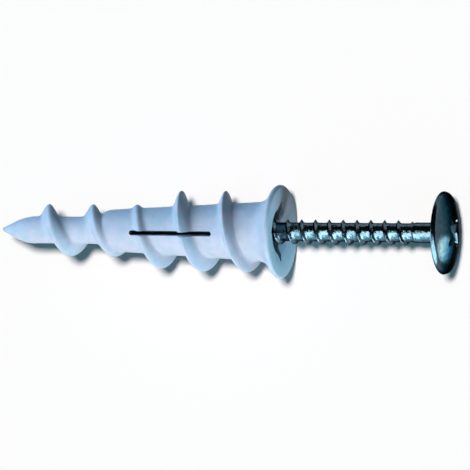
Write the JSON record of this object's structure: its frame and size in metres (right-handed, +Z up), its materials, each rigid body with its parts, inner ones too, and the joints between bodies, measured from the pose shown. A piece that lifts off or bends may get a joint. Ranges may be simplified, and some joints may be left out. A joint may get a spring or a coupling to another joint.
{
  "type": "self-drilling drywall anchor with screw",
  "caption": "Nylon self-drilling drywall anchor with a coarse outer thread, split shank and flared collar, and a truss-head steel screw started in its mouth.",
  "frame": {"origin": "middle of the pair's box on the floor that the collar and the screw's head rest on", "axes": "+X from the drill point towards the screw's head, +Z up from the floor"},
  "size_m": [0.0676, 0.0132, 0.0132],
  "materials": {
    "nylon": "moulded, satin",
    "zinc_plated_steel": "bright zinc plate"
  },
  "bodies": {
    "anchor": {"anchor_body": "nylon"},
    "screw": {"screw": "zinc_plated_steel"}
  },
  "joints": [
    {"name": "screw_drive", "type": "slide", "parent": "anchor", "child": "screw", "axis": [-0.9995, 0, 0.0307], "range_m": [-0.0062, 0.0237]}
  ]
}
